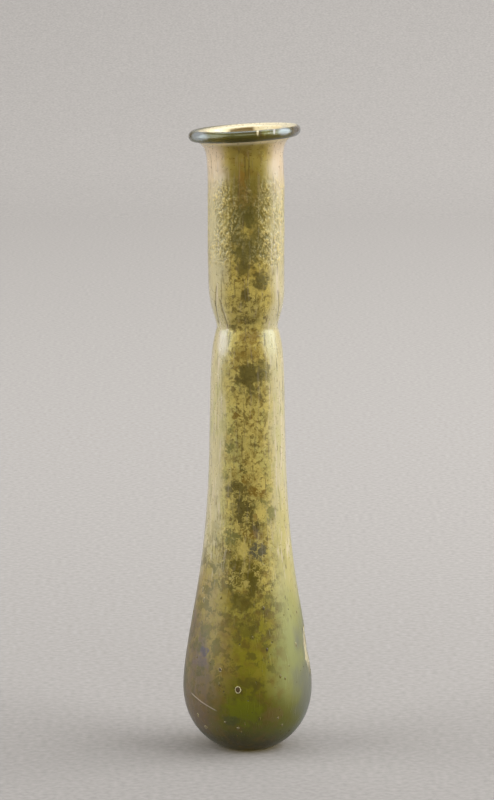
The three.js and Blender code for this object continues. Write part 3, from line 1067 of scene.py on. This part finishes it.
# %% Places of the burst bubbles
BURST_BUBBLES = (
    # degrees round from the front, height, half its width, half its height
    (-8.4, 13.6, 0.5, 0.6),
    (-62.7, 31.3, 0.2, 0.6),
    (-57.4, 29.6, 0.26, 0.5),
    (55, 21.1, 0.16, 0.42),
    (29.7, 7.7, 0.16, 0.2),
    (-9.4, 5.9, 0.22, 0.18),
    (-54, 7.5, 0.2, 0.34),
    (-47.8, 5.2, 0.34, 0.3),
    (-21.8, 7.0, 0.16, 0.16),
    (49.8, 8.3, 0.14, 0.16),
    (36.4, 6.0, 0.16, 0.2),
    (-78, 21.5, 0.14, 0.4),
    (-80, 17.4, 0.14, 0.26),
    (-76, 14.2, 0.12, 0.26),
    (74, 31.8, 0.2, 0.4),
    (66, 27.0, 0.14, 0.3),
    (-26, 17.2, 0.3, 0.34),
    (120, 16.0, 0.3, 0.44),
    (150, 24.0, 0.2, 0.5),
    (178, 11.0, 0.44, 0.5),
    (-110, 18.0, 0.24, 0.44),
    (-140, 28.0, 0.2, 0.5),
    (-165, 8.0, 0.26, 0.26),
    (132, 6.0, 0.24, 0.24),
)
REACH = 0.05  # the skin's slope is measured from this far below a place to this far above it


def skin_radius(z):
    return outer_radius(z) if z > BELLY_HEIGHT else bowl_radius((1 - z / BELLY_HEIGHT) * BOWL_CUT)


places = []
facings = []
extents = []
for degrees, height, half_width, half_height in BURST_BUBBLES:
    turn = math.radians(degrees)
    outward = Vector((math.sin(turn), -math.cos(turn), 0))
    slope = (skin_radius(height + REACH) - skin_radius(height - REACH)) / (2 * REACH)
    places.append((outward * skin_radius(height) + Vector((0, 0, height))) * MM)
    facings.append((outward - Vector((0, 0, slope))).normalized())
    extents.append((half_width * MM, half_height * MM, (half_width + half_height) / 2 * MM))
burst_start = bpy.data.meshes.new("burst places")
burst_start.from_pydata(places, [], [])
for label, vectors in (("facing", facings), ("extent", extents)):
    layer = burst_start.attributes.new(label, "FLOAT_VECTOR", "POINT")
    for point, vector in zip(layer.data, vectors):
        point.vector = vector
print("burst bubbles:", len(places))

# %% The tree that sets a ring and a hollow
RING_STEPS = 18
RING_SIDES = 6
HOLLOW_SIDES = 12
HOLLOW_RINGS = 6
HOLLOW_RADIUS = 0.95  # the ring's own radius is 1, and each place stretches both


def circle(tree, resolution, radius):
    inputs = {"Resolution": resolution, "Radius": radius}
    return put(tree, "GeometryNodeCurvePrimitiveCircle", inputs, mode="RADIUS").outputs[0]


burst, entry, leave = new_geometry_tree(
    "burst bubbles",
    {
        "Ring Thickness": ("NodeSocketFloat", 0.2),
        "Hollow Flatness": ("NodeSocketFloat", 0.12),
        "Glass": ("NodeSocketMaterial", None),
    },
)
ring_line = circle(burst, RING_STEPS, 1.0)
ring_section = circle(burst, RING_SIDES, entry.outputs["Ring Thickness"])
ring = put(burst, "GeometryNodeCurveToMesh", {"Curve": ring_line, "Profile Curve": ring_section})
ball_inputs = {"Segments": HOLLOW_SIDES, "Rings": HOLLOW_RINGS, "Radius": HOLLOW_RADIUS}
ball = put(burst, "GeometryNodeMeshUVSphere", ball_inputs)
flatten = joined(burst, 1.0, 1.0, Term(burst, entry.outputs["Hollow Flatness"]))
flat_ball = put(burst, "GeometryNodeTransform", {"Geometry": ball.outputs["Mesh"], "Scale": flatten})
hollow = store(burst, flat_ball.outputs[0], "hollow", 1.0)
pair = burst.nodes.new("GeometryNodeJoinGeometry")
burst.links.new(ring.outputs[0], pair.inputs[0])
burst.links.new(hollow, pair.inputs[0])
loose = put(burst, "GeometryNodeMeshToPoints", {"Mesh": entry.outputs["Geometry"]})
facing = {"Vector": attribute(burst, "facing", "FLOAT_VECTOR")}
outwards = put(burst, "FunctionNodeAlignRotationToVector", facing, axis="Z").outputs[0]
placed = put(
    burst,
    "GeometryNodeInstanceOnPoints",
    {
        "Points": loose.outputs[0],
        "Instance": pair.outputs[0],
        "Rotation": standing(burst, outwards),
        "Scale": attribute(burst, "extent", "FLOAT_VECTOR"),
    },
)
dressed = real_and_smooth(burst, placed.outputs[0], entry.outputs["Glass"])
burst.links.new(dressed, leave.inputs[0])
print("the tree of the burst bubbles has", len(burst.nodes), "nodes")

# %% Make the burst bubbles
RING_PALE = chart(192, 184, 142)
RING_DUST = chart(108, 96, 54)
HOLLOW_BROWN = chart(78, 60, 28)

ring_glass = bpy.data.materials.new("burst bubble glass")
tree, shader, place = opened(ring_glass)
is_hollow = stored(tree, "hollow")
dusty = mask_from(tree, speckle, Place=place, Grain=0.5, Level=0.5, Soft=0.1)
ring_colour = mixed(tree, dusty * 0.6, RING_PALE, RING_DUST)
feed(tree, shader.inputs["Base Color"], mixed(tree, is_hollow, ring_colour, HOLLOW_BROWN))
feed(tree, shader.inputs["Roughness"], is_hollow * 0.3 + 0.25)
burst_rings = made_by_nodes("burst_bubbles", burst_start, burst, {"Glass": ring_glass})

# %% [markdown]
# ## The paper behind the flask
# The photograph was taken on a sheet of paper that runs back from the flask and bends up into a
# wall, so no edge shows behind it. A plane with a curved back does the same. The paper is darker
# near the flask and paler far behind, and a fine noise keeps it from looking like a flat fill. It
# belongs to the stage and not to the part.

# %% Sweep and paper
FLOOR_FRONT = 0.6
FLOOR_BACK = 1.0
WALL_TOP = 2.0
BEND_RADIUS = 0.9
BEND_STEPS = 24
HALF_WIDTH = 0.8
PAPER_ENDS = (-0.06, 1.15)  # the tone changes between these places, from near to far
PAPER_TONE = 0.257
PAPER_GAIN = 0.25  # how much paler the paper gets in one metre
PAPER_GREEN = 0.95  # beside the red
PAPER_BLUE = 0.904


def paper_piece(name, corners, faces, material_name):
    mesh = bpy.data.meshes.new(name)
    mesh.from_pydata(corners, [], faces)
    material = bpy.data.materials.new(material_name)
    material.use_nodes = True
    mesh.materials.append(material)
    piece = bpy.data.objects.new(name, mesh)
    bpy.context.scene.collection.objects.link(piece)
    return piece, material.node_tree, material.node_tree.nodes["Principled BSDF"]


side = [(-FLOOR_FRONT, 0)]
for i in range(BEND_STEPS + 1):
    turn = math.radians(90 * i / BEND_STEPS)
    side.append((FLOOR_BACK + BEND_RADIUS * math.sin(turn), BEND_RADIUS - BEND_RADIUS * math.cos(turn)))
side.append((FLOOR_BACK + BEND_RADIUS, WALL_TOP))
corners = [(x, y, z) for y, z in side for x in (-HALF_WIDTH, HALF_WIDTH)]
faces = [(2 * i, 2 * i + 1, 2 * i + 3, 2 * i + 2) for i in range(len(side) - 1)]
backdrop, tree, shader = paper_piece("sweep", corners, faces, "paper")
for face in backdrop.data.polygons:
    face.use_smooth = True
spot = put(tree, "ShaderNodeTexCoord").outputs["Object"]
near, far = PAPER_ENDS
back = split(tree, spot)[1].maths("MAXIMUM", near).maths("MINIMUM", far)
grain = noise(tree, spot, 800, detail=3.0) - 0.5
tone = (back * PAPER_GAIN + PAPER_TONE) * (grain * 0.5 + 1)
feed(tree, shader.inputs["Base Color"], joined(tree, tone, tone * PAPER_GREEN, tone * PAPER_BLUE))
shader.inputs["Roughness"].default_value = 0.9
shader.inputs["Specular IOR Level"].default_value = 0
print("the sweep is", 2 * HALF_WIDTH, "m wide and", WALL_TOP, "m high")

# %% [markdown]
# ## A black card
# Glass shows what stands round it. In the photograph the middle of the flask shows no pale floor,
# so a black card lies in front of it, out of the picture. The camera doesn't see the card, and it
# casts no shadow and no tint: it works only through what the glass reflects and bends.

# %% The card in front
CARD_HALF_WIDTH = 0.4
CARD_FRONT = -0.9
CARD_BACK = -0.016
CARD_LIFT = 0.002

card_corners = [
    (-CARD_HALF_WIDTH, CARD_FRONT, CARD_LIFT),
    (CARD_HALF_WIDTH, CARD_FRONT, CARD_LIFT),
    (CARD_HALF_WIDTH, CARD_BACK, CARD_LIFT),
    (-CARD_HALF_WIDTH, CARD_BACK, CARD_LIFT),
]
card, tree, shader = paper_piece("black card", card_corners, [(0, 1, 2, 3)], "black")
shader.inputs["Base Color"].default_value = (0.02, 0.02, 0.02, 1)
card.visible_camera = False
card.visible_shadow = False
card.visible_diffuse = False
print("the card ends", -CARD_BACK, "m in front of the axis")

# %% [markdown]
# ## The room and its softboxes
# A wide softbox stands on each side and makes the long pale stripe along each flank. Two smaller
# ones hang above them, a weak one lights the front, and a strong one lights the paper behind. The
# room itself gives hardly any light. Where the camera looks past the paper it sees a plain wall.

# %% Room and softboxes
ROOM_GREY = (0.9, 0.9, 0.9, 1)
ROOM_STRENGTH = 0.08
WALL_GREY = (0.52, 0.49, 0.465, 1)
MIDDLE = (0, 0, 0.06)
SOFTBOXES = (
    # name, place, what it points at, width, height, power
    ("left softbox", (-0.8, -0.1, 0.3), MIDDLE, 0.9, 0.45, 5.5),
    ("right softbox", (0.8, -0.06, 0.3), MIDDLE, 0.9, 0.45, 5.7),
    ("high left softbox", (-0.5, -0.06, 0.55), MIDDLE, 0.8, 0.3, 2.7),
    ("high right softbox", (0.5, -0.06, 0.55), MIDDLE, 0.8, 0.3, 5.0),
    ("front softbox", (0, -0.6, 0.7), MIDDLE, 0.6, 0.4, 2.1),
    ("top softbox", (0.4, 0.75, 1.3), (0.4, 0.7, 0), 1.8, 0.9, 16.5),
)

world = bpy.data.worlds.new("room")
bpy.context.scene.world = world
world.use_nodes = True
room = world.node_tree
dim = room.nodes["Background"]
dim.inputs["Color"].default_value = ROOM_GREY
dim.inputs["Strength"].default_value = ROOM_STRENGTH
wall = put(room, "ShaderNodeBackground", {"Color": WALL_GREY, "Strength": 1.0})
seen = put(room, "ShaderNodeLightPath").outputs["Is Camera Ray"]
sky = put(room, "ShaderNodeMixShader", {0: seen, 1: dim.outputs[0], 2: wall.outputs[0]})
feed(room, room.nodes["World Output"].inputs["Surface"], sky.outputs[0])
for name, position, target, width, height, power in SOFTBOXES:
    light = bpy.data.lights.new(name, "AREA")
    light.shape = "RECTANGLE"
    light.size = width
    light.size_y = height
    light.energy = power
    softbox = bpy.data.objects.new(name, light)
    softbox.location = position
    aim = Vector(target) - Vector(position)
    softbox.rotation_euler = aim.to_track_quat("-Z", "Y").to_euler()
    bpy.context.scene.collection.objects.link(softbox)
print(len(SOFTBOXES), "softboxes")

# %% [markdown]
# ## Tell the library what belongs together
# ## What belongs together
# All three pieces ride the flask's one body and stand in for its one node, whose solid is hidden.

# %% Ride the body and hide the solid
for piece in (flask, bubbles, burst_rings):
    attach(piece, "root")
    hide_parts("vessel")
